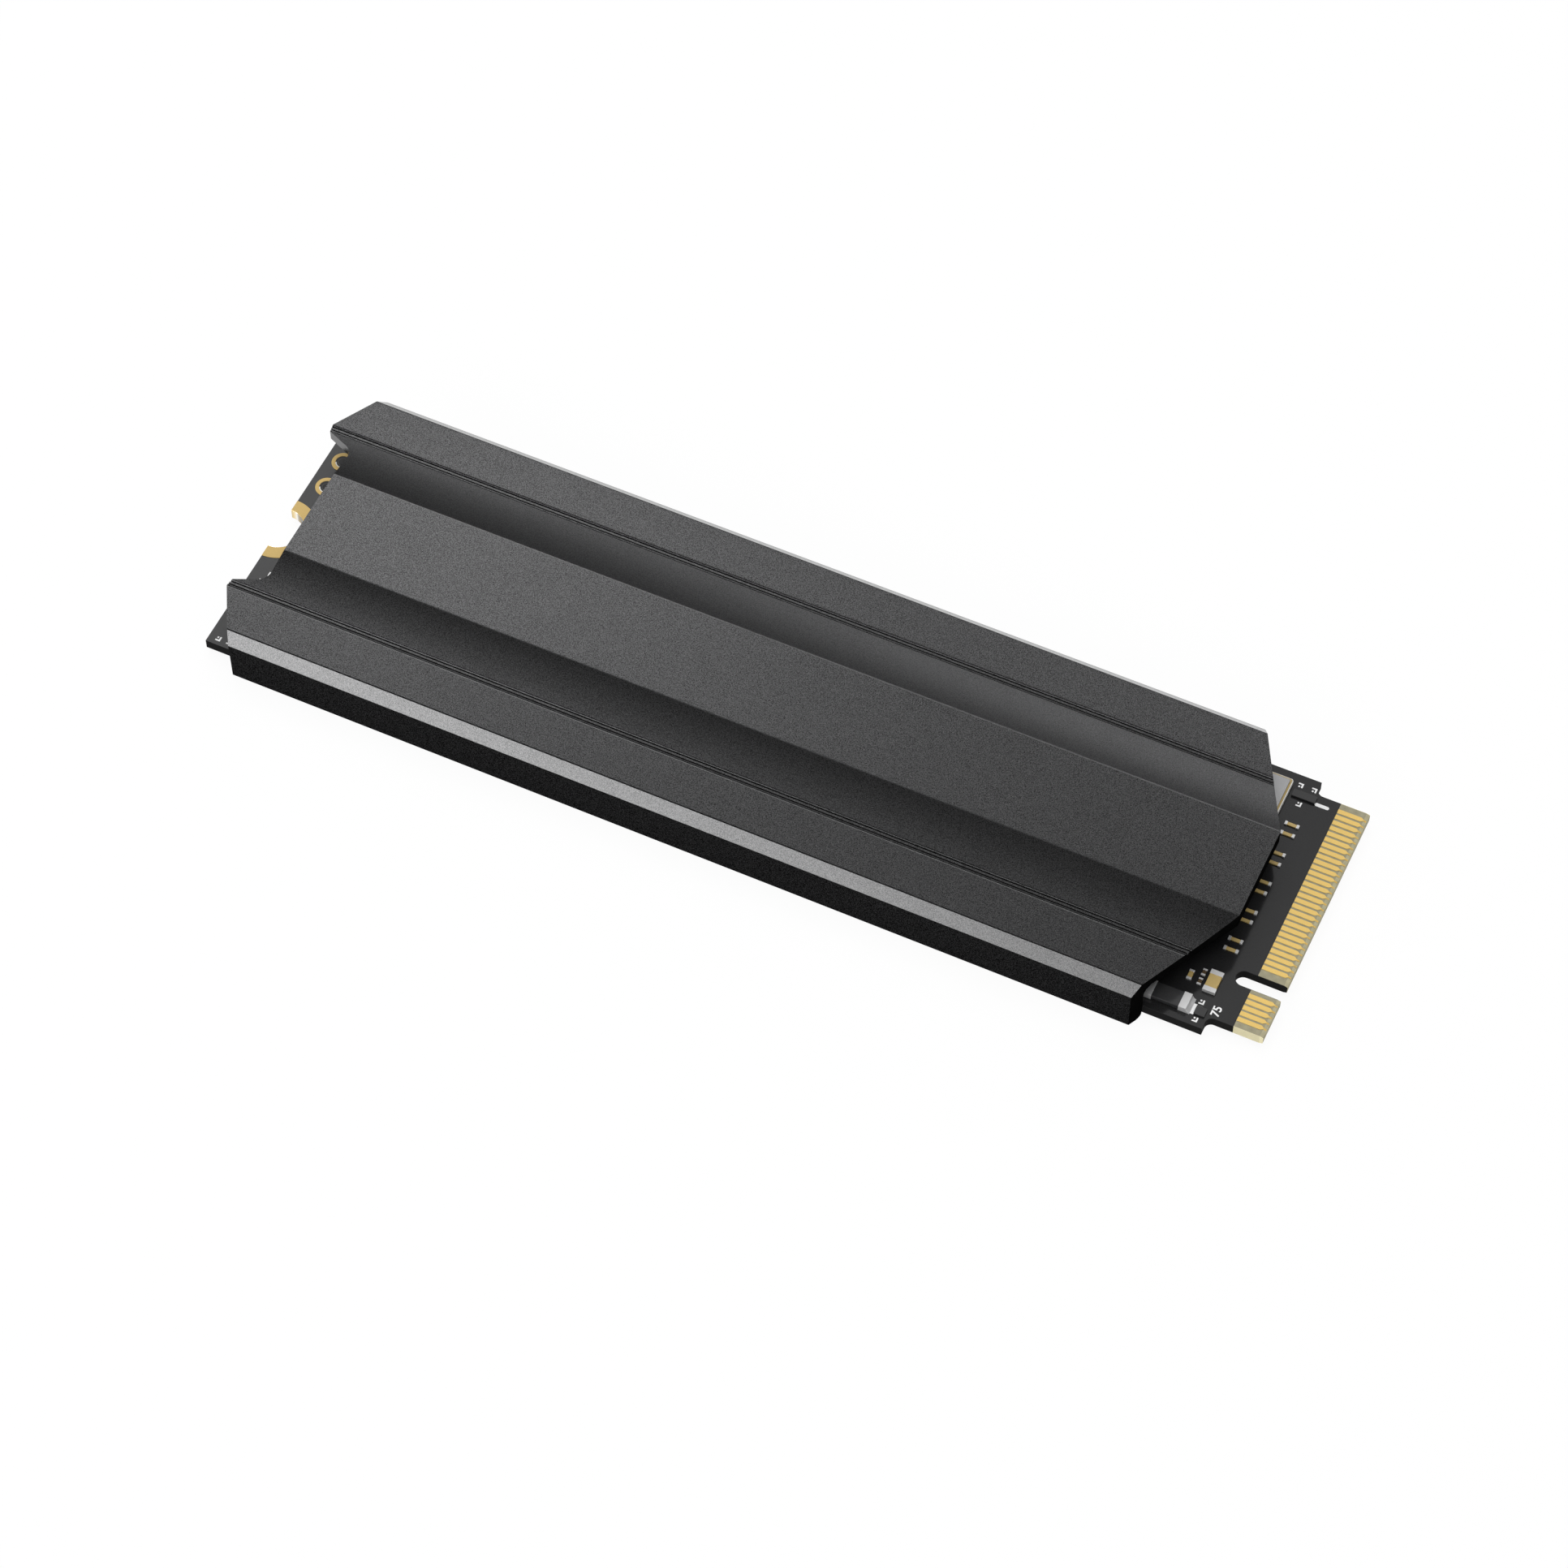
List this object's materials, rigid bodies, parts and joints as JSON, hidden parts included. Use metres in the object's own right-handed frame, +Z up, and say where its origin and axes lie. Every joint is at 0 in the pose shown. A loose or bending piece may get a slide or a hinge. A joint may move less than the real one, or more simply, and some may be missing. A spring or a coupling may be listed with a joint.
{
  "type": "solid-state drive module",
  "caption": "Slim solid-state drive: a narrow module card with gold edge contacts and a half-round screw notch, under a black anodised aluminium heatsink that wraps its long edges.",
  "frame": {"origin": "middle of the card's length and width, on the plane that the heatsink's two side walls stand on, which is the bottom centre of the bounding box", "axes": "+X along the card towards the edge contacts, +Y across it, +Z up through the heatsink"},
  "size_m": [0.08, 0.0242, 0.0048],
  "materials": {
    "anodised_aluminium": "black anodised over a fine bead blast, satin",
    "silicone_pad": "matte, soft, filled silicone",
    "board_laminate": "black solder mask over glass-epoxy laminate, satin",
    "gold_plating": "hard gold over nickel, satin",
    "chip_mould": "moulded epoxy, matte",
    "dark_ferrite": "ground ferrite, matte",
    "tin_plating": "matte tin",
    "tan_ceramic": "fired ceramic, matte",
    "brown_ceramic": "glazed film on ceramic, satin",
    "pale_ceramic": "fired ceramic, matte",
    "lid_steel": "nickel-plated lid, satin"
  },
  "bodies": {
    "root": {"heatsink": "anodised_aluminium", "thermal_pad": "silicone_pad", "circuit_board": "board_laminate", "hole_plugs": "board_laminate", "edge_contacts_top": "gold_plating", "edge_contacts_bottom": "gold_plating", "notch_plating": "gold_plating", "hole_plating": "gold_plating", "oscillator_seal_ring": "gold_plating", "controller_chip": "chip_mould", "memory_chip": "chip_mould", "flash_chip_near": "chip_mould", "flash_chip_far": "chip_mould", "regulator_chip": "chip_mould", "buffer_chip": "chip_mould", "monitor_chip": "chip_mould", "coil_bodies": "dark_ferrite", "filter_body": "dark_ferrite", "coil_terminals": "tin_plating", "filter_terminals": "tin_plating", "filter_solder": "tin_plating", "coupling_capacitor_terminals": "tin_plating", "bypass_capacitor_terminals": "tin_plating", "bulk_capacitor_terminals": "tin_plating", "resistor_terminals": "tin_plating", "coupling_capacitor_bodies": "tan_ceramic", "bypass_capacitor_bodies": "tan_ceramic", "bulk_capacitor_body": "tan_ceramic", "resistor_bodies": "brown_ceramic", "oscillator_base": "pale_ceramic", "oscillator_lid": "lid_steel"}
  },
  "joints": []
}
